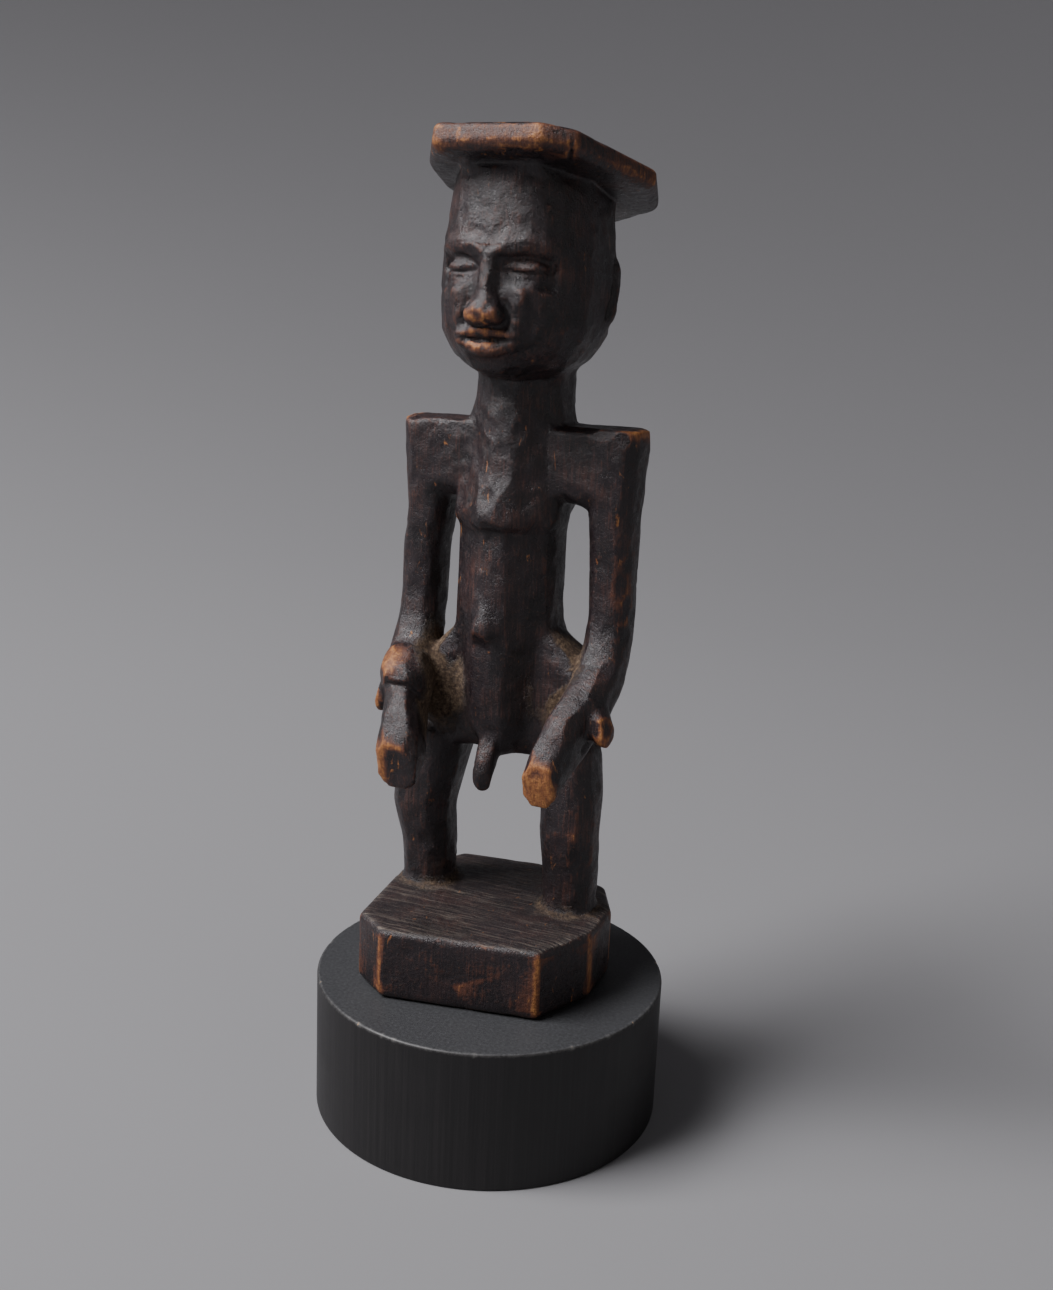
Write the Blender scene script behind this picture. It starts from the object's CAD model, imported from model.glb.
"""The looks of a carved ancestor figure that is screwed to a turned plinth.

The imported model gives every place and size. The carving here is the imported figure's own form made
into one fine skin, which is then worked as a carver works it: shaved in short knife cuts, lined with
the knife's point, rubbed by hands, and left to gather dust. Lengths are in millimetres, and MM turns
them to metres. The figure faces -Y, its left side is +X, and z = 0 is the floor.
"""

import math

import bmesh
import bpy
import numpy as np
from mathutils import Matrix, Vector, kdtree
from mathutils.bvhtree import BVHTree


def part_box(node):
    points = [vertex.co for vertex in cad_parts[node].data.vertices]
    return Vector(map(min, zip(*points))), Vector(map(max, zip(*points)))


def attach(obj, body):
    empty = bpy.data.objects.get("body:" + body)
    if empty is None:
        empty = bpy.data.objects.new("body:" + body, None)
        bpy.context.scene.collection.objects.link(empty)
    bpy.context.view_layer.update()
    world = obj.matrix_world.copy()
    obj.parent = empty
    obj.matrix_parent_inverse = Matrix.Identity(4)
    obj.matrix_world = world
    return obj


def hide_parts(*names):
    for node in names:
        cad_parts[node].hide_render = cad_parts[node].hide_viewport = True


MM = 0.001
SEED = 11

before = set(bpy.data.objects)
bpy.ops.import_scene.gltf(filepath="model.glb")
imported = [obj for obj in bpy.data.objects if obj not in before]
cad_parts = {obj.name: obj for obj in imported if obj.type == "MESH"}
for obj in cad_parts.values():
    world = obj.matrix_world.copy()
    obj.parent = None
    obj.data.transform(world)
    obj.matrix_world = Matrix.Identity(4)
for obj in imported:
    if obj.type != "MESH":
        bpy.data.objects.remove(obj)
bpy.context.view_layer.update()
figure_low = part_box("carved_figure")[0] / MM
plinth_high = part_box("plinth")[1] / MM

# Levels of the carving, in millimetres above the floor
SLAB_FOOT = figure_low.z
SLAB_TOP = SLAB_FOOT + 17.8
GROIN = SLAB_TOP + 40.0
SHOULDER_TOP = GROIN + 83.4
CHIN = SHOULDER_TOP + 13.0
CROWN = CHIN + 44.0
FACE_X = 0.8
LEG_PLACES = ((-22.15, 7.5), (18.35, 7.5))
EYE_Z, NOSE_Z, MOUTH_Z = (CHIN + share * (CROWN - CHIN) for share in (0.50, 0.25, 0.155))

# The headdress plate's underside: its middle line, how far it is sunk on the head, and its slope
PLATE_Y = 8.6
PLATE_SINK = 2.2
PLATE_SLOPE = math.tan(math.radians(12.0))

# The skin of the carving
SKIN_STEP = 0.5
SKIN_TRIANGLES = 190_000
KNIFE_CUT = 3.5
FACE_CUT = 2.9
SLAB_CUT = 8.0
HAND_CUT = 3.6

# The turned plinth
PLINTH_RIM = 0.7
PLINTH_FOOT = 0.6
BORE_RADIUS = 2.3
BORE_SPARE = 3.0


# ---------------------------------------------------------------- small tools


def place(x, y, z):
    return Vector((x, y, z)) * MM


def smoothstep(low, high, value):
    """0 up to low and 1 from high on, with an eased rise between them. low may be the larger."""
    share = np.clip((value - low) / (high - low), 0.0, 1.0)
    return share * share * (3.0 - 2.0 * share)


def linear(hex_colour):
    """An sRGB hex colour as linear red, green, blue and alpha."""
    channels = [int(hex_colour[i:i + 2], 16) / 255 for i in (1, 3, 5)]
    return (*(c / 12.92 if c <= 0.04045 else ((c + 0.055) / 1.055) ** 2.4 for c in channels), 1.0)


def add_mesh_object(name, mesh):
    made = bpy.data.objects.new(name, mesh)
    bpy.context.scene.collection.objects.link(made)
    return made


def applied(thing):
    """The object's mesh with its modifiers applied, as a new mesh."""
    graph = bpy.context.evaluated_depsgraph_get()
    graph.update()
    return bpy.data.meshes.new_from_object(thing.evaluated_get(graph))


def read_points(mesh):
    """The mesh's points in millimetres."""
    points = np.empty(len(mesh.vertices) * 3)
    mesh.vertices.foreach_get("co", points)
    return points.reshape(-1, 3) / MM


def write_points(mesh, points):
    mesh.vertices.foreach_set("co", (points * MM).ravel())
    mesh.update()


def read_normals(mesh):
    normals = np.empty(len(mesh.vertices) * 3)
    mesh.vertex_normals.foreach_get("vector", normals)
    return normals.reshape(-1, 3)


def store(mesh, name, values):
    """Keeps a value for each point on the mesh, where a material can read it."""
    layer = mesh.attributes.new(name, "FLOAT", "POINT")
    layer.data.foreach_set("value", values.astype(np.float32))


def blur(mesh, values, times, share=0.5):
    """Each point's value drawn towards the mean of its neighbours', times over."""
    pairs = np.empty(len(mesh.edges) * 2, dtype=np.int64)
    mesh.edges.foreach_get("vertices", pairs)
    one, other = pairs.reshape(-1, 2).T
    count = len(mesh.vertices)
    valence = np.maximum(np.bincount(one, minlength=count) + np.bincount(other, minlength=count), 1)
    columns = [column.copy() for column in values.reshape(count, -1).T]
    for _ in range(times):
        for i, column in enumerate(columns):
            total = np.bincount(one, column[other], count) + np.bincount(other, column[one], count)
            columns[i] = column + share * (total / valence - column)
    return np.stack(columns, axis=1).reshape(values.shape)


def path_distance(points, path):
    """How far each point is from a path of straight runs, in millimetres."""
    nearest = np.full(len(points), np.inf)
    for start, end in zip(path, path[1:]):
        start, run = np.array(start, float), np.array(end, float) - np.array(start, float)
        along = np.clip((points - start) @ run / (run @ run), 0.0, 1.0)
        nearest = np.minimum(nearest, np.linalg.norm(points - start - along[:, None] * run, axis=1))
    return nearest


def above_plate(points):
    """How far each point is above the headdress plate's underside, which slopes down to the back."""
    return points[:, 2] - (CROWN - PLATE_SINK) + (points[:, 1] - PLATE_Y) * PLATE_SLOPE


def arc(start, middle, end, steps=8):
    """Points on a smooth curve from start to end that is drawn towards middle."""
    start, middle, end = (np.array(p, float) for p in (start, middle, end))
    shares = np.linspace(0.0, 1.0, steps)[:, None]
    return (1 - shares) ** 2 * start + 2 * shares * (1 - shares) * middle + shares ** 2 * end


# ---------------------------------------------------------------- carving the figure


def carving_blank():
    """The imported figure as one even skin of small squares, with its hard seams melted."""
    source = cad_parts["carved_figure"]
    form = bmesh.new()
    form.from_mesh(source.data)
    bmesh.ops.remove_doubles(form, verts=form.verts, dist=0.001 * MM)
    mesh = bpy.data.meshes.new("blank")
    form.to_mesh(mesh)
    form.free()
    blank = add_mesh_object("blank", mesh)
    remesh = blank.modifiers.new("skin", "REMESH")
    remesh.mode = "VOXEL"
    remesh.voxel_size = SKIN_STEP * MM
    skin = applied(blank)
    bpy.data.objects.remove(blank, do_unlink=True)
    bpy.data.meshes.remove(mesh)
    melt(skin)
    return skin


def passes(reach):
    """How many passes of blur reach so many millimetres on this skin."""
    return max(1, round((reach / SKIN_STEP) ** 2 * 4))


def melt(skin):
    """Softens the skin: least on the slab, the plate, the hands and the features, most on the skull."""
    points = read_points(skin)
    crisp = blur(skin, points, passes(0.6))
    soft = blur(skin, crisp, passes(1.25))
    smooth = blur(skin, soft, passes(2.6))
    x, y, z = points.T
    plate = above_plate(points)
    skull = smoothstep(CHIN - 1.0, CHIN + 5.0, z) * smoothstep(-1.0, -4.5, plate)
    share, _ = head_frame(points)
    features = smoothstep(-13.5, -16.0, y) * smoothstep(0.04, 0.10, share) * smoothstep(0.60, 0.52, share)
    eyes = smoothstep(-9.0, -12.0, y) * smoothstep(0.38, 0.42, share) * smoothstep(0.62, 0.55, share)
    face = np.maximum(features, eyes)
    ears = smoothstep(16.4, 17.6, np.abs(x - FACE_X))
    skull *= 1 - np.maximum(face, ears)
    smooth += (rounded_head(smooth) - smooth) * (skull * 0.9)[:, None]
    fingers = smoothstep(-9.0, -13.0, y) * smoothstep(GROIN + 24, GROIN + 18, z) * (z > SLAB_TOP + 4)
    slab = smoothstep(SLAB_TOP + 1.0, SLAB_TOP - 1.0, z)
    shoulders = smoothstep(SHOULDER_TOP - 2.0, SHOULDER_TOP, z) * (z < SHOULDER_TOP + 1)
    crisp_places = (slab, smoothstep(-3.0, -0.6, plate), fingers * 0.8, face * 0.85, shoulders * 0.6)
    sharp = np.max(crisp_places, axis=0)
    skull, sharp = skull[:, None], sharp[:, None]
    write_points(skin, sharp * crisp + (1 - sharp) * (skull * smooth + (1 - skull) * soft))
    grow = 0.30 + 0.45 * skull - 0.16 * sharp
    write_points(skin, read_points(skin) + read_normals(skin) * grow)


def rounded_head(points):
    """The points of the head drawn in or out to an egg, between an ellipse and a square in plan."""
    share = (points[:, 2] - CHIN) / (CROWN - CHIN)
    levels = (-0.02, 0.06, 0.20, 0.42, 0.66, 0.86, 1.04)
    wide = np.interp(share, levels, (0.56, 0.78, 0.97, 1.00, 0.98, 0.92, 0.86)) * 18.5
    deep = np.interp(share, levels, (0.62, 0.86, 0.98, 1.00, 0.99, 0.93, 0.88)) * 23.0
    middle = np.stack([np.full(len(points), FACE_X), 4.6 + 2.3 * share, points[:, 2]], axis=1)
    x, y, _ = (points - middle).T
    fullness = 2.3
    spread = (np.abs(x / wide) ** fullness + np.abs(y / deep) ** fullness) ** (1 / fullness)
    scale = np.where(spread > 0.6, 0.985 / np.maximum(spread, 0.6), 1.0)[:, None]
    return middle + (points - middle) * (1, 1, 0) * scale


def head_frame(points):
    """Each point's height share from chin to crown, and how far it is on the face's side."""
    share = (points[:, 2] - CHIN) / (CROWN - CHIN)
    on_face = smoothstep(-4.0, -12.0, points[:, 1]) * smoothstep(-0.1, 0.0, share)
    return share, on_face * smoothstep(0.98, 0.86, share)


def cut_size(points):
    """The length of a knife cut at each point: short on the face and hands, long on the slab."""
    _, on_face = head_frame(points)
    size = np.full(len(points), KNIFE_CUT)
    size += (FACE_CUT - KNIFE_CUT) * on_face
    on_slab = smoothstep(SLAB_TOP + 1.0, SLAB_TOP - 0.5, points[:, 2])
    on_plate = smoothstep(-2.6, -0.6, above_plate(points))
    size += (SLAB_CUT - size) * np.maximum(on_slab, on_plate)
    at_hands = (points[:, 2] < GROIN + 20) & (points[:, 2] > SLAB_TOP + 2)
    return size + (HAND_CUT - size) * smoothstep(-6.0, -10.0, points[:, 1]) * at_hands


def stretched(points):
    """The points squeezed in height, so that cuts spaced evenly here run long up the limbs."""
    knots = np.array((0.0, SLAB_TOP, SHOULDER_TOP - 18, SHOULDER_TOP, CHIN, CROWN, CROWN + 20))
    shares = (1.0, 0.58, 0.85, 0.85, 0.95, 1.0)
    heights = np.concatenate(([0.0], np.cumsum(np.diff(knots) * shares)))
    squeezed = points.copy()
    squeezed[:, 2] = np.interp(points[:, 2], knots, heights)
    return squeezed


def scatter(points, spacing, random):
    """Points of the skin in a seeded order, each at least its own spacing from those before it."""
    cell = float(spacing.max())
    grid, chosen = {}, []
    near = [(i, j, k) for i in (-1, 0, 1) for j in (-1, 0, 1) for k in (-1, 0, 1)]
    for index in random.permutation(len(points))[: len(points) // 2]:
        x, y, z = points[index]
        home = (int(x // cell), int(y // cell), int(z // cell))
        limit = spacing[index] ** 2
        crowded = any(
            (x - other[0]) ** 2 + (y - other[1]) ** 2 + (z - other[2]) ** 2 < limit
            for step in near
            for other in grid.get((home[0] + step[0], home[1] + step[1], home[2] + step[2]), ())
        )
        if not crowded:
            grid.setdefault(home, []).append((x, y, z))
            chosen.append(index)
    return np.array(chosen)


def shave(skin, random):
    """Takes a flat or faintly hollow shaving off round each of many points, as a knife does.

    Returns for every point a random tone of its own cut, from 0 to 1.
    """
    points, normals = read_points(skin), read_normals(skin)
    broad = blur(skin, normals, passes(1.2))
    broad /= np.linalg.norm(broad, axis=1)[:, None]
    size, spread = cut_size(points), stretched(points)
    z = points[:, 2]
    on_plate = smoothstep(-2.6, -0.6, above_plate(points))
    gentle = np.maximum(smoothstep(SLAB_TOP + 1.0, SLAB_TOP, z), on_plate)
    throat = smoothstep(GROIN + 50, GROIN + 60, z) * smoothstep(CHIN + 4, CHIN - 2, z)
    force = 1.0 - 0.75 * gentle + 0.6 * throat * smoothstep(2.0, -4.0, points[:, 1])
    seeds = scatter(spread, size, random)
    facing = broad[seeds] + random.normal(0.0, 0.085, (len(seeds), 3)) * force[seeds, None]
    facing /= np.linalg.norm(facing, axis=1)[:, None]
    tree = kdtree.KDTree(len(seeds))
    for number, index in enumerate(seeds):
        tree.insert(spread[index], number)
    tree.balance()
    nearby = 7
    found = np.array([[hit[1] for hit in tree.find_n(point, nearby)] for point in spread])
    offset = points[:, None, :] - points[seeds][found]
    height = np.einsum("pkc,pkc->pk", offset, facing[found])
    reach = np.einsum("pkc,pkc->pk", offset, offset) - height ** 2
    apart = np.linalg.norm(spread[:, None, :] - spread[seeds][found], axis=2) / size[seeds][found]

    # How round the surface is at each cut sets how deep the knife must go for a cut of that size
    inside = apart[:, 0] < 0.55
    own, own_reach = found[inside, 0], np.maximum(reach[inside, 0], 0.2)
    total = np.bincount(own, -height[inside, 0] / own_reach, len(seeds))
    roundness = total / np.maximum(np.bincount(own, minlength=len(seeds)), 1)
    half, hollow = 0.60 * size[seeds], 0.028
    depth = np.clip(half ** 2 * (np.clip(roundness, 0.0, 0.10) + hollow), 0.16, 0.80)
    depth *= random.uniform(0.7, 1.2, len(seeds)) * force[seeds]

    # A cut fades out past its own size and where the surface turns away from it, so none ends in a step
    agree = np.einsum("pc,pkc->pk", broad, facing[found])
    far = np.clip(apart - 0.85, 0.0, None) ** 2 * 12.0
    turned_away = np.clip(0.80 - agree, 0.0, None) * 3.0
    over = np.minimum(height, 0.15) + depth[found] - hollow * reach - far - turned_away
    cut = np.clip(over.max(axis=1), 0.0, 0.85)
    tone = random.uniform(0.0, 1.0, len(seeds))[found[np.arange(len(points)), over.argmax(axis=1)]]
    write_points(skin, points - broad * cut[:, None])
    return tone


def face_lines():
    """The face's lines and swellings in the face's own plane: a path, a half width and a depth."""
    lines = [
        (mirrored_arc(6.8, MOUTH_Z + 0.7, MOUTH_Z + 3.4), 1.2, -0.9),
        (mirrored_arc(6.0, MOUTH_Z - 0.8, MOUTH_Z - 4.4), 1.4, -1.0),
        (mirrored_arc(7.6, MOUTH_Z + 0.5, MOUTH_Z - 0.9), 0.42, 0.6),
        (((FACE_X - 1.5, MOUTH_Z - 8.0), (FACE_X + 1.5, MOUTH_Z - 8.0)), 3.4, -0.8),
    ]
    for side in (-1, 1):
        eye_x = FACE_X + side * 8.2
        cheek = ((eye_x + side * 2.0, EYE_Z - 7.0), (eye_x + side * 2.2, EYE_Z - 9.0))
        nostril = ((FACE_X + side * 3.4, NOSE_Z + 1.6), (FACE_X + side * 3.2, NOSE_Z + 0.8))
        wing = (
            (FACE_X + side * 4.6, NOSE_Z + 4.2),
            (FACE_X + side * 6.4, NOSE_Z + 1.4),
            (FACE_X + side * 4.8, NOSE_Z - 1.0),
        )
        lines += [
            (mirrored_arc(6.4, EYE_Z + 4.2, EYE_Z + 8.0, eye_x), 1.5, -0.6),
            (mirrored_arc(5.4, EYE_Z + 0.7, EYE_Z + 5.0, eye_x), 0.6, 0.5),
            (mirrored_arc(4.9, EYE_Z, EYE_Z - 1.3, eye_x), 0.42, 0.7),
            (cheek, 4.2, -0.7),
            (nostril, 1.5, -0.8),
            (arc(*wing), 0.6, 0.45),
        ]
    return lines


def mirrored_arc(half_width, ends_z, middle_z, x=FACE_X):
    """An arc on the face that is the same on both sides of x."""
    return arc((x - half_width, ends_z), (x, middle_z), (x + half_width, ends_z))


def body_lines():
    """Lines and hollows on the body: a path, a half width and a depth."""
    under_left_thumb = ((28.0, -9.5, GROIN + 8.6), (30.6, -9.0, GROIN + 8.0))
    under_right_thumb = ((-26.0, -9.5, GROIN + 7.4), (-28.4, -9.0, GROIN + 7.0))
    under_chest = ((-13.6, -6.0, GROIN + 60.6), (-2.0, -12.4, GROIN + 58.6), (11.0, -7.0, GROIN + 59.6))
    spine = ((0.0, 19.6, SHOULDER_TOP - 14), (-0.6, 19.4, GROIN + 50), (-0.8, 19.8, GROIN + 30))
    seat = ((-0.8, 24.0, GROIN + 21), (-0.8, 23.0, GROIN + 8), (-0.8, 19.0, GROIN))
    neck_foot = ((4.0, -4.6, SHOULDER_TOP + 0.2), (9.6, -2.6, SHOULDER_TOP - 0.2),
                 (13.0, 2.0, SHOULDER_TOP + 0.3))
    plate_split = ((20.4, -18.6, CROWN + 8.0), (19.6, -17.6, CROWN + 3.0), (16.6, -12.0, CROWN + 0.4))
    lines = [
        (under_left_thumb, 1.7, 1.8),
        (under_right_thumb, 1.4, 1.3),
        (arc(*under_chest), 0.7, 0.45),
        (spine, 1.8, 0.7),
        (seat, 1.1, 1.6),
        (neck_foot, 0.55, 0.6),
        (plate_split, 0.45, 0.8),
    ]
    for side in (-1, 1):
        ear_x = FACE_X + side * 19.1
        hollow = ((ear_x, 9.4, CHIN + 12.6), (ear_x + side, 11.2, CHIN + 18.5), (ear_x, 13.4, CHIN + 25.4))
        lines.append((arc(*hollow), 1.0, 1.1))
    return lines


def draw_lines(skin):
    """Cuts each line into the skin along its own normals, or raises it where the depth is negative."""
    points, normals = read_points(skin), read_normals(skin)
    front = smoothstep(-8.0, -11.0, points[:, 1]) * smoothstep(CHIN - 2.0, CHIN, points[:, 2])
    across = points[:, (0, 2)]
    push = np.zeros(len(points))
    for path, half_width, depth in face_lines():
        push += depth * front * np.exp(-(path_distance(across, path) / half_width) ** 2)
    for path, half_width, depth in body_lines():
        push += depth * np.exp(-(path_distance(points, path) / half_width) ** 2)
    write_points(skin, points - normals * push[:, None])


def sky_share(mesh):
    """The share of the sky that each point sees past the rest of the carving, from 0 to 1."""
    points, normals = read_points(mesh), read_normals(mesh)
    tree = BVHTree.FromPolygons(
        [Vector(p) for p in points], [tuple(face.vertices) for face in mesh.polygons]
    )
    count = 12
    turns = np.arange(count) * math.pi * (3 - math.sqrt(5))
    heights = 1 - (np.arange(count) + 0.5) * 2 / count
    rings = np.sqrt(1 - heights ** 2)
    ball = np.stack([np.cos(turns) * rings, np.sin(turns) * rings, heights], axis=1)
    seen = np.zeros(len(points))
    starts = points + normals * 0.25
    for ray in ball:
        aim = normals * 1.02 + ray
        aim /= np.linalg.norm(aim, axis=1)[:, None]
        seen += [tree.ray_cast(a, b, 30.0)[0] is None for a, b in zip(starts.tolist(), aim.tolist())]
    return blur(mesh, seen / count, 6)


def nearness(points, centre, radii):
    """1 at the centre of an ellipsoid, 0 at its edge and beyond."""
    away = np.linalg.norm((points - np.array(centre)) / np.array(radii), axis=1)
    return smoothstep(1.0, 0.25, away)


def strongest(points, places):
    """The strongest of many soft-edged places at each point. A place is a centre, radii and strength."""
    found = np.zeros(len(points))
    for centre, radii, strength in places:
        found = np.maximum(found, strength * nearness(points, centre, radii))
    return found


def bulge(mesh, points, normals, times):
    """How far each point stands out of its own neighbourhood, in millimetres."""
    return np.einsum("pc,pc->p", points - blur(mesh, points, times), normals)


def handled_places():
    """Where hands and knocks have rubbed the patina off, and how strongly."""
    places = [
        ((3.0, -20.0, CROWN + 4.0), (30.0, 12.0, 9.0), 0.75),
        ((28.0, 0.0, CROWN + 1.0), (12.0, 22.0, 9.0), 0.55),
        ((31.0, 7.5, SHOULDER_TOP), (8.0, 10.0, 6.0), 1.0),
        ((-29.6, 7.5, SHOULDER_TOP), (6.0, 10.0, 6.0), 0.6),
        ((FACE_X, -20.0, CHIN + 7.0), (8.0, 6.0, 4.0), 0.5),
        ((FACE_X, -22.0, CHIN + 12.0), (5.0, 5.0, 4.0), 0.6),
        ((-13.0, 1.0, GROIN + 58.0), (6.0, 8.0, 4.0), 0.6),
        ((-1.6, -8.6, GROIN + 34.0), (5.0, 4.0, 6.0), 0.12),
        ((-24.6, -9.0, GROIN + 18.0), (7.0, 8.0, 7.0), 0.9),
        ((31.5, 1.0, GROIN + 44.0), (7.0, 8.0, 30.0), 0.5),
        ((21.0, 2.0, SLAB_TOP + 20.0), (9.0, 9.0, 18.0), 0.35),
    ]
    for side in (-1, 1):
        places.append(((side * 19.6, -22.0, GROIN + 2.0), (7.0, 7.0, 9.0), 1.0))
        places.append(((side * 29.5, -8.0, GROIN + 13.0), (6.0, 9.0, 7.0), 0.8))
    return places


def crust_places():
    """Where dust and old dirt have packed into the recesses."""
    places = [((0.0, 8.0, CROWN - 1.0), (22.0, 24.0, 5.0), 0.25)]
    for side in (-1, 1):
        places.append(((side * 16.0, 0.0, GROIN + 20.0), (11.0, 15.0, 21.0), 1.0))
        places.append(((side * 17.0, -7.0, GROIN + 11.0), (9.0, 11.0, 14.0), 0.9))
    for x, y in LEG_PLACES:
        places.append(((x, y, SLAB_TOP + 0.6), (13.0, 13.0, 4.0), 0.9))
    return places


def rubbed_ends(points, normals):
    """The finger ends and the oval on the right hand, which are rubbed through where they face out."""
    ends = np.zeros(len(points))
    for x, wide in ((-23.4, 5.5), (19.6, 8.0)):
        tip = nearness(points, (x, -21.0, GROIN + 0.5), (wide, 9.0, 11.0))
        ends = np.maximum(ends, 0.47 * tip * smoothstep(0.50, 0.85, -normals[:, 1]))
    cuff = nearness(points, (-25.4, -12.0, GROIN + 24.0), (6.4, 7.5, 7.5))
    facing_out = smoothstep(0.35, 0.8, normals[:, 2] - 0.6 * normals[:, 1])
    return np.maximum(ends, 0.62 * cuff * facing_out)


def worn_share(mesh, points, normals, handled, on_slab):
    """How far the patina is worn off: on edges, on what stands out, on the plate's rim, on ends."""
    fine = (0.5 / SKIN_STEP) ** 2
    ridge = bulge(mesh, points, normals, max(2, int(5 * fine)))
    edge = smoothstep(0.035, 0.16, ridge)
    on_plate = smoothstep(-1.5, 0.5, above_plate(points))
    edge *= 0.22 + 0.78 * handled + 0.2 * on_plate + 0.42 * on_slab * smoothstep(0.07, 0.17, ridge)
    broad = smoothstep(0.10, 0.55, bulge(mesh, points, normals, max(4, int(34 * fine))))
    broad *= 0.55 * handled * (1 - 0.85 * on_slab) * (1 - 0.75 * on_plate)
    rim = on_plate * handled * smoothstep(0.85, 0.35, np.abs(normals[:, 2]))
    return np.clip(edge + broad + 0.38 * rim + rubbed_ends(points, normals), 0.0, 1.0)


def weather(mesh, tone):
    """Stores on the points what the finish needs: worn edges, dust, hollows and the cuts' tones."""
    points, normals = read_points(mesh), read_normals(mesh)
    sky = sky_share(mesh)
    handled = strongest(points, handled_places())
    on_slab = smoothstep(SLAB_TOP + 0.6, SLAB_TOP - 0.6, points[:, 2])
    worn = worn_share(mesh, points, normals, handled, on_slab) * smoothstep(0.25, 0.6, sky)
    hollow = 1.0 - smoothstep(0.25, 0.85, sky)
    crust = strongest(points, crust_places())
    crust *= smoothstep(0.04, 0.42, hollow + 0.3 * smoothstep(0.2, 0.7, normals[:, 2]))
    store(mesh, "worn", worn)
    store(mesh, "crust", crust)
    store(mesh, "hollow", hollow)
    store(mesh, "cut_tone", tone)
    store(mesh, "slab_top", on_slab * smoothstep(0.7, 0.9, normals[:, 2]))
    store(mesh, "on_slab", on_slab)
    store(mesh, "handled", handled)


def make_carving():
    """The whole carving, thinned to a bounded number of triangles before it is weathered."""
    random = np.random.default_rng(SEED)
    skin = carving_blank()
    tone = shave(skin, random)
    write_points(skin, blur(skin, read_points(skin), 1, 0.2))
    draw_lines(skin)
    store(skin, "cut_tone", blur(skin, tone, 1))
    carving = add_mesh_object("wooden_carving", skin)
    triangles = 2 * len(skin.polygons)
    if triangles > SKIN_TRIANGLES:
        thin = carving.modifiers.new("thin", "DECIMATE")
        thin.ratio = SKIN_TRIANGLES / triangles
        mesh = applied(carving)
        carving.data = mesh
        bpy.data.meshes.remove(skin)
    mesh = carving.data
    values = np.empty(len(mesh.vertices))
    mesh.attributes["cut_tone"].data.foreach_get("value", values)
    mesh.attributes.remove(mesh.attributes["cut_tone"])
    weather(mesh, values)
    mesh.shade_smooth()
    return carving


# ---------------------------------------------------------------- turning the plinth


def plinth_profile():
    """Radius and height down the outside of the disc: flat top, worn rim, straight side."""
    radius, top = plinth_high.x, plinth_high.z
    points = [(share * (radius - 1.6), top) for share in (0.02, 0.2, 0.4, 0.6, 0.75, 0.86, 0.93, 0.97, 1.0)]
    points += [(radius - 1.2, top - 0.01), (radius - PLINTH_RIM - 0.15, top - 0.02)]
    for step in range(7):
        angle = math.radians(90 - 90 * step / 6)
        points.append((radius - PLINTH_RIM * (1 - math.cos(angle)), top - PLINTH_RIM * (1 - math.sin(angle))))
    points += [(radius, z) for z in np.linspace(top - PLINTH_RIM - 0.3, 1.0, 44)]
    for step in range(5):
        angle = math.radians(-90 * step / 4)
        points.append((radius - PLINTH_FOOT * (1 - math.cos(angle)), PLINTH_FOOT * (1 + math.sin(angle))))
    points += [(share * (radius - 1.4), 0.0) for share in (1.0, 0.7, 0.4, 0.02)]
    return points


def turned_form(profile, steps):
    """Rings of points round the axis, closed at both centres, as a bmesh in millimetres."""
    form = bmesh.new()
    turns = [2 * math.pi * i / steps for i in range(steps)]
    rings = [
        [form.verts.new((radius * math.cos(turn), radius * math.sin(turn), z)) for turn in turns]
        for radius, z in profile
    ]
    for upper, lower in zip(rings, rings[1:]):
        for i in range(steps):
            j = (i + 1) % steps
            form.faces.new((upper[j], upper[i], lower[i], lower[j]))
    for ring, (_, z) in ((rings[0], profile[0]), (rings[-1], profile[-1])):
        centre = form.verts.new((0, 0, z))
        for i in range(steps):
            form.faces.new((ring[i], ring[(i + 1) % steps], centre))
    return form


def wear_rim(mesh):
    """Nicks the rim in a few uneven places round it, and stores how worn it is."""
    points = read_points(mesh)
    radius = np.linalg.norm(points[:, :2], axis=1)
    angle = np.arctan2(points[:, 1], points[:, 0])
    rim = smoothstep(1.5, 0.35, np.hypot(plinth_high.x - radius, plinth_high.z - points[:, 2]))
    uneven = np.sin(angle * 23 + 2 * np.sin(angle * 7)) * np.sin(angle * 41 + 1.3)
    nick = smoothstep(0.55, 1.0, uneven + 0.25 * np.sin(angle * 97))
    inward = -0.10 * rim * nick / np.maximum(radius, 1e-6)
    points[:, :2] += points[:, :2] * inward[:, None]
    write_points(mesh, points)
    store(mesh, "worn", np.clip(rim * (0.45 + 0.55 * nick), 0, 1))


def make_plinth():
    """The turned disc, with a bore and a washer's pocket cut in for each screw."""
    form = turned_form(plinth_profile(), 320)
    bmesh.ops.scale(form, vec=(MM, MM, MM), verts=form.verts)
    bmesh.ops.recalc_face_normals(form, faces=form.faces)
    mesh = bpy.data.meshes.new("turned_plinth")
    form.to_mesh(mesh)
    form.free()
    plinth = add_mesh_object("turned_plinth", mesh)
    for side in ("left", "right"):
        low, high = (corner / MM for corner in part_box(f"{side}_washer"))
        x, pocket_radius = (low.x + high.x) / 2, (high.x - low.x) / 2 + 0.6
        cut_bore(plinth, x, pocket_radius, -BORE_SPARE, high.z + 0.3)
        cut_bore(plinth, x, BORE_RADIUS, -BORE_SPARE, plinth_high.z + BORE_SPARE)
    wear_rim(plinth.data)
    plinth.data.shade_smooth()
    plinth.data.set_sharp_from_angle(angle=math.radians(50))
    return plinth


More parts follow.
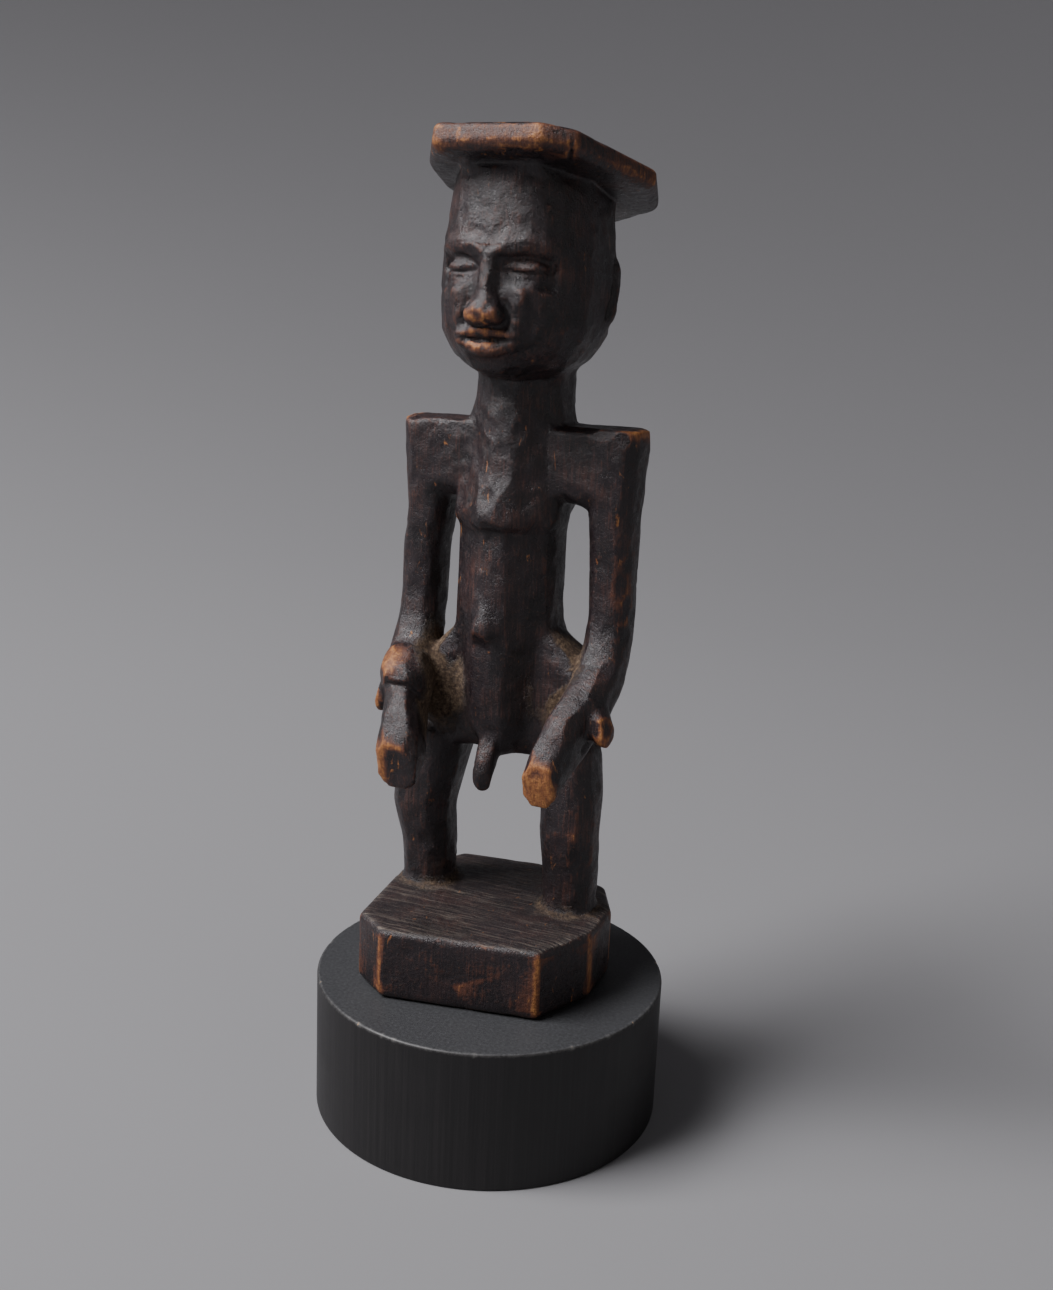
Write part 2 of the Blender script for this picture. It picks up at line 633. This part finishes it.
def cut_bore(target, x, radius, bottom, top):
    """Cuts an upright round hole."""
    form = bmesh.new()
    bmesh.ops.create_cone(form, cap_ends=True, segments=48, radius1=radius * MM, radius2=radius * MM,
                          depth=(top - bottom) * MM)
    bmesh.ops.translate(form, vec=place(x, 0, (top + bottom) / 2), verts=form.verts)
    mesh = bpy.data.meshes.new("bore")
    form.to_mesh(mesh)
    form.free()
    cutter = add_mesh_object("bore", mesh)
    step = target.modifiers.new("bore", "BOOLEAN")
    step.operation = "DIFFERENCE"
    step.object = cutter
    cut = applied(target)
    target.modifiers.remove(step)
    target.data = cut
    bpy.data.objects.remove(cutter, do_unlink=True)


# ---------------------------------------------------------------- materials


def new_material(name):
    """An empty material with a Principled shader, and that shader."""
    made = bpy.data.materials.new(name)
    made.use_nodes = True
    made.node_tree.nodes.clear()
    shader = add(made, "ShaderNodeBsdfPrincipled")
    add(made, "ShaderNodeOutputMaterial", {"Surface": shader.outputs[0]})
    return made, shader


def add(material, kind, inputs=None, **settings):
    """Adds a node. inputs gives each socket a value, or another node's socket to follow."""
    node = material.node_tree.nodes.new(kind)
    for name, value in settings.items():
        setattr(node, name, value)
    for socket, value in (inputs or {}).items():
        if isinstance(value, bpy.types.NodeSocket):
            material.node_tree.links.new(value, node.inputs[socket])
        else:
            node.inputs[socket].default_value = linear(value) if isinstance(value, str) else value
    return node


def per_mm(size):
    """A pattern's scale, in repeats per metre, from the real size of one repeat in millimetres."""
    return 1.0 / (size * MM)


def object_place(material):
    return add(material, "ShaderNodeTexCoord").outputs["Object"]


def stored(material, name):
    """A value that was stored on the mesh's points."""
    return add(material, "ShaderNodeAttribute", attribute_name=name).outputs["Fac"]


def long_grained(material, where, width, depth, height, turn=0.0):
    """Coordinates in which one unit is the given real size in millimetres along each direction."""
    scale = (per_mm(width), per_mm(depth), per_mm(height))
    inputs = {"Vector": where, "Rotation": (0.0, 0.0, turn), "Scale": scale}
    return add(material, "ShaderNodeMapping", inputs).outputs[0]


def noise(material, where, size, detail, roughness=0.5, distortion=0.0):
    """A noise of the given size in millimetres, or of one unit where size is None."""
    scale = per_mm(size) if size else 1.0
    inputs = {"Vector": where, "Scale": scale, "Detail": detail, "Roughness": roughness,
              "Distortion": distortion}
    return add(material, "ShaderNodeTexNoise", inputs).outputs[0]


def ranged(material, value, low, high, to_low=0.0, to_high=1.0):
    """The value stretched so that low to high becomes to_low to to_high, and held there."""
    inputs = {0: value, 1: low, 2: high, 3: to_low, 4: to_high}
    return add(material, "ShaderNodeMapRange", inputs).outputs[0]


def product(material, one, other):
    return add(material, "ShaderNodeMath", {0: one, 1: other}, operation="MULTIPLY").outputs[0]


def product_plus(material, value, factor, added):
    inputs = {0: value, 1: factor, 2: added}
    return add(material, "ShaderNodeMath", inputs, operation="MULTIPLY_ADD").outputs[0]


def mixed(material, share, under, over, blend="MIX"):
    """The colour under, covered by the colour over as far as share says."""
    inputs = {0: share, 6: under, 7: over}
    return add(material, "ShaderNodeMix", inputs, data_type="RGBA", blend_type=blend).outputs[2]


def blended(material, share, under, over):
    """mixed, for plain values."""
    return add(material, "ShaderNodeMix", {0: share, 2: under, 3: over}, data_type="FLOAT").outputs[0]


def coloured(material, value, *stops):
    """The value turned into a colour by (position, colour) stops."""
    node = add(material, "ShaderNodeValToRGB", {0: value})
    elements = node.color_ramp.elements
    while len(elements) < len(stops):
        elements.new(0.5)
    for element, (position, colour) in zip(elements, stops):
        element.position = position
        element.color = linear(colour)
    return node.outputs[0]


def bumped(material, height, strength, depth, under=None):
    """A relief of the given depth in millimetres, over another relief if there is one."""
    inputs = {"Height": height, "Strength": strength, "Distance": depth * MM}
    if under:
        inputs["Normal"] = under
    return add(material, "ShaderNodeBump", inputs).outputs[0]


def finish(material, shader, colour, roughness, relief):
    """Leads a colour, a roughness and a relief into the shader."""
    for socket, source in (("Base Color", colour), ("Roughness", roughness), ("Normal", relief)):
        material.node_tree.links.new(source, shader.inputs[socket])


def patinated_wood():
    """A dense tropical hardwood, knife cut, blackened with soot and oil and then handled for decades.

    The oil leaves a satin skin that shows the grey-violet of the sky; where it is rubbed through, the
    wood is warm orange brown; where it was never touched, pale dust has stuck in a dull crust.
    """
    wood, shader = new_material("patinated_hardwood")
    where = object_place(wood)
    names = ("worn", "crust", "hollow", "cut_tone", "slab_top", "on_slab", "handled")
    worn, crust, hollow, tone, slab_top, on_slab, handled = (stored(wood, name) for name in names)

    # Upright fibres about 0.5 mm wide and 9 mm long
    fibre = noise(wood, long_grained(wood, where, 0.5, 0.5, 9.0), None, 4.0, 0.6)
    # Cloudy changes of the patina, about 9 mm across, and mottling about 1.5 mm across
    cloud = noise(wood, where, 9.0, 5.0, 0.6)
    mottle = noise(wood, where, 1.5, 7.0, 0.72)
    # Grit and pin pricks about 0.5 mm across
    grit = noise(wood, where, 0.55, 3.0, 0.7)
    # Chips and scuffs, about 2.8 mm wide and 8 mm tall
    chip_noise = noise(wood, long_grained(wood, where, 2.8, 2.8, 8.0), None, 5.0, 0.7, 0.6)

    black = coloured(wood, cloud, (0.34, "#0d0a0d"), (0.50, "#191316"), (0.66, "#281b1b"))
    toned = mixed(wood, tone, "#120e11", "#2d2226")
    dark = mixed(wood, 0.45, black, toned)
    # Red-brown shows where the black is thin, more on the slab's sides than on the body
    thin = ranged(wood, mottle, 0.52, 0.68)
    browned = mixed(wood, product(wood, thin, product_plus(wood, on_slab, 0.12, 0.30)), dark, "#46281e")
    # Handling has thinned the black along the fibres, so the arms and legs show dull red streaks
    streak = ranged(wood, product(wood, fibre, cloud), 0.27, 0.40, 0.0, 0.75)
    off_slab = product_plus(wood, on_slab, -0.75, 1.0)
    streaked = mixed(wood, product(wood, streak, off_slab), browned, "#432a24")
    pricked = mixed(wood, ranged(wood, grit, 0.62, 0.72, 0.0, 0.65), streaked, "#5c4538")
    grained = mixed(wood, 1.0, pricked, ranged(wood, fibre, 0.35, 0.68, 0.80, 1.22), "MULTIPLY")

    # Rubbed through: worn edges broken up by the mottling, first brown and then orange
    fibre_broken = product_plus(wood, fibre, 0.7, product_plus(wood, mottle, 0.9, -0.42))
    rub = product_plus(wood, worn, 1.35, fibre_broken)
    brown_share = ranged(wood, rub, 0.52, 0.88)
    brown = mixed(wood, brown_share, grained, "#573223")
    bare = coloured(wood, fibre_broken, (0.12, "#5b3220"), (0.34, "#82502c"), (0.62, "#b07a45"))
    orange = mixed(wood, ranged(wood, rub, 0.86, 1.30), brown, bare)

    # Small chips: only the peaks of the chip noise, more where the carving was handled
    chip = ranged(wood, product_plus(wood, handled, 0.08, chip_noise), 0.655, 0.70)
    chipped = mixed(wood, product(wood, chip, product_plus(wood, hollow, -1.0, 1.0)), orange, bare)

    # The slab's top: fine scratches that run from side to side, about 0.7 mm apart, in a greyer skin
    sideways = long_grained(wood, where, 14.0, 0.7, 3.0, math.radians(-6))
    scratch = noise(wood, sideways, None, 4.0, 0.75, 0.25)
    scratch_here = product(wood, ranged(wood, scratch, 0.50, 0.62, 0.06, 1.0), slab_top)
    cooled = mixed(wood, product(wood, slab_top, 0.65), chipped, "#1c1a1d")
    scratched = mixed(wood, scratch_here, cooled, "#8a7e72")

    # The crust: dull tan dust with dark pores about 0.9 mm across, and a thin film in every hollow
    pores = noise(wood, where, 0.9, 5.0, 0.8)
    crust_colour = coloured(wood, pores, (0.36, "#231913"), (0.49, "#513f30"), (0.68, "#85725b"))
    crust_level = product_plus(wood, crust, 1.25, product_plus(wood, mottle, 0.9, -0.45))
    crust_share = ranged(wood, crust_level, 0.22, 0.72)
    crusted = mixed(wood, crust_share, scratched, crust_colour)
    filmed = mixed(wood, product(wood, hollow, 0.10), crusted, "#4b4238")

    # Satin on the oiled skin, drier on worn wood and dead matt in the crust
    satin = ranged(wood, mottle, 0.38, 0.62, 0.27, 0.52)
    dry = blended(wood, brown_share, satin, 0.52)
    matt = blended(wood, crust_share, blended(wood, slab_top, dry, 0.60), 0.95)

    # Relief: fibres and knife chatter everywhere, scratches on the slab's top, grit in the crust
    relief = product_plus(wood, grit, 0.35, product_plus(wood, fibre, 0.25, mottle))
    skin_bump = bumped(wood, relief, 1.0, 0.32)
    scratch_bump = bumped(wood, product(wood, scratch, slab_top), 0.8, 0.25, skin_bump)
    grit_bump = bumped(wood, product(wood, pores, crust_share), 1.0, 0.45, scratch_bump)
    finish(wood, shader, filmed, matt, grit_bump)
    return wood


def stained_wood():
    """Turned hardwood under a black spirit stain: matt, the upright grain showing as fine lines."""
    wood, shader = new_material("black_stained_hardwood")
    where, worn = object_place(wood), stored(wood, "worn")
    # Grain lines about 0.8 mm wide that run the height of the side
    grain = noise(wood, long_grained(wood, where, 0.8, 0.8, 60.0), None, 5.0, 0.7)
    cloud = noise(wood, where, 16.0, 4.0, 0.55)
    speck = noise(wood, where, 0.8, 4.0, 0.7)
    lines = coloured(wood, grain, (0.32, "#0b090a"), (0.50, "#131112"), (0.68, "#1c191a"))
    stain = mixed(wood, 1.0, lines, ranged(wood, cloud, 0.3, 0.7, 0.85, 1.15), "MULTIPLY")
    # The flat top is end grain, which takes the stain as one even grey-black
    geometry = add(wood, "ShaderNodeNewGeometry")
    facing = add(wood, "ShaderNodeSeparateXYZ", {0: geometry.outputs["True Normal"]}).outputs[2]
    upward = ranged(wood, facing, 0.6, 0.9)
    end_grain = coloured(wood, speck, (0.35, "#2f2f31"), (0.55, "#38393b"), (0.72, "#434446"))
    faced = mixed(wood, upward, stain, end_grain)
    # The rim is rubbed to grey, with a few nicks through to pale wood
    rub = product_plus(wood, speck, 0.9, worn)
    greyed = mixed(wood, ranged(wood, rub, 0.75, 1.35, 0.0, 0.42), faced, "#6b6a68")
    nicked = mixed(wood, ranged(wood, rub, 1.40, 1.50), greyed, "#a08262")
    # A few knocks low on the side have lifted the stain to orange brown
    knock = noise(wood, where, 3.4, 3.0, 0.6)
    knocked = mixed(wood, ranged(wood, knock, 0.765, 0.80), nicked, "#5c3a26")
    dull = ranged(wood, cloud, 0.3, 0.7, 0.46, 0.58)
    bump = bumped(wood, blended(wood, upward, grain, speck), 0.35, 0.06)
    finish(wood, shader, knocked, dull, bump)
    return wood


def zinc_plated_steel():
    """Turned steel with a thin zinc plating: a soft bluish grey with fine turning marks."""
    steel, shader = new_material("zinc_plated_steel")
    where = object_place(steel)
    patch = noise(steel, where, 1.6, 4.0)
    colour = coloured(steel, patch, (0.3, "#a3a6a8"), (0.7, "#c3c5c4"))
    rough = ranged(steel, patch, 0.3, 0.7, 0.26, 0.44)
    turning = noise(steel, long_grained(steel, where, 2.0, 2.0, 0.12), None, 2.0)
    finish(steel, shader, colour, rough, bumped(steel, turning, 0.3, 0.02))
    shader.inputs["Metallic"].default_value = 1.0
    return steel


def painted_floor():
    """Matt pale grey studio paint."""
    paint, shader = new_material("pale_studio_floor")
    shader.inputs["Base Color"].default_value = linear("#848486")
    shader.inputs["Roughness"].default_value = 0.9
    return paint


def put_on(piece, material):
    piece.data.materials.clear()
    piece.data.materials.append(material)


# ---------------------------------------------------------------- studio


def make_floor():
    """A round floor that sweeps up all round into a high wall, so that no edge shows from any side."""
    flat, sweep, wall, steps = 0.6, 2.6, 3.0, 96
    profile = [(0.0, 0.0), (0.2, 0.0), (0.4, 0.0), (flat, 0.0)]
    for step in range(1, 25):
        angle = math.radians(90 * step / 24)
        profile.append((flat + sweep * math.sin(angle), sweep * (1 - math.cos(angle))))
    profile.append((flat + sweep, sweep + wall))
    form = bmesh.new()
    rings = [
        [form.verts.new((r * math.cos(2 * math.pi * i / steps), r * math.sin(2 * math.pi * i / steps), z))
         for i in range(steps)]
        for r, z in profile[1:]
    ]
    centre = form.verts.new((0, 0, 0))
    for i in range(steps):
        form.faces.new((centre, rings[0][i], rings[0][(i + 1) % steps]))
    for inner, outer in zip(rings, rings[1:]):
        for i in range(steps):
            j = (i + 1) % steps
            form.faces.new((inner[i], outer[i], outer[j], inner[j]))
    mesh = bpy.data.meshes.new("studio_floor")
    form.to_mesh(mesh)
    form.free()
    mesh.shade_smooth()
    floor = add_mesh_object("studio_floor", mesh)
    put_on(floor, painted_floor())


def make_light(name, azimuth, height, distance, size, watts, colour):
    """A square soft light that looks at the middle of the object."""
    data = bpy.data.lights.new(name, "AREA")
    data.shape = "SQUARE"
    data.size = size
    data.energy = watts
    data.color = linear(colour)[:3]
    light = bpy.data.objects.new(name, data)
    bpy.context.scene.collection.objects.link(light)
    angle = math.radians(azimuth)
    light.location = (distance * math.sin(angle), -distance * math.cos(angle), height)
    aim = Vector((0, 0, 0.13)) - light.location
    light.rotation_euler = aim.to_track_quat("-Z", "Y").to_euler()


def make_studio():
    """A dim even sky, a large window on the figure's right and a weak fill on its left."""
    world = bpy.data.worlds.new("studio")
    bpy.context.scene.world = world
    world.use_nodes = True
    sky = world.node_tree.nodes["Background"]
    sky.inputs["Color"].default_value = linear("#cfc8d4")
    sky.inputs["Strength"].default_value = 0.24
    make_light("window", -50, 1.6, 1.3, 1.1, 78.0, "#fffdff")
    make_light("fill", 75, 0.9, 2.0, 1.4, 5.0, "#fffcf7")
    make_floor()


def make_camera():
    """Stands a little to the figure's left, just above its shoulders, and looks slightly down."""
    azimuth, pitch, roll = math.radians(24.0), math.radians(13.69), math.radians(2.424)
    swing = math.radians(1.015)
    distance, height = 0.33689, 0.20526
    data = bpy.data.cameras.new("camera")
    data.lens = 38.97
    data.sensor_width = 36.0
    data.clip_start = 0.01
    camera = bpy.data.objects.new("camera", data)
    bpy.context.scene.collection.objects.link(camera)
    turn = Matrix.Rotation(azimuth, 4, "Z")
    look = Matrix.Rotation(-swing, 4, "Z") @ Matrix.Rotation(math.pi / 2 - pitch, 4, "X")
    stand = Matrix.Translation((0, -distance, height))
    camera.matrix_world = turn @ stand @ look @ Matrix.Rotation(roll, 4, "Z")
    bpy.context.scene.camera = camera


# ---------------------------------------------------------------- the whole


def main():
    carving = make_carving()
    put_on(carving, patinated_wood())
    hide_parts("carved_figure")
    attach(carving, "root")

    plinth = make_plinth()
    put_on(plinth, stained_wood())
    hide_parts("plinth")
    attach(plinth, "root")

    steel = zinc_plated_steel()
    for node in ("left_screw", "right_screw", "left_washer", "right_washer"):
        put_on(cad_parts[node], steel)

    make_camera()
    make_studio()


main()
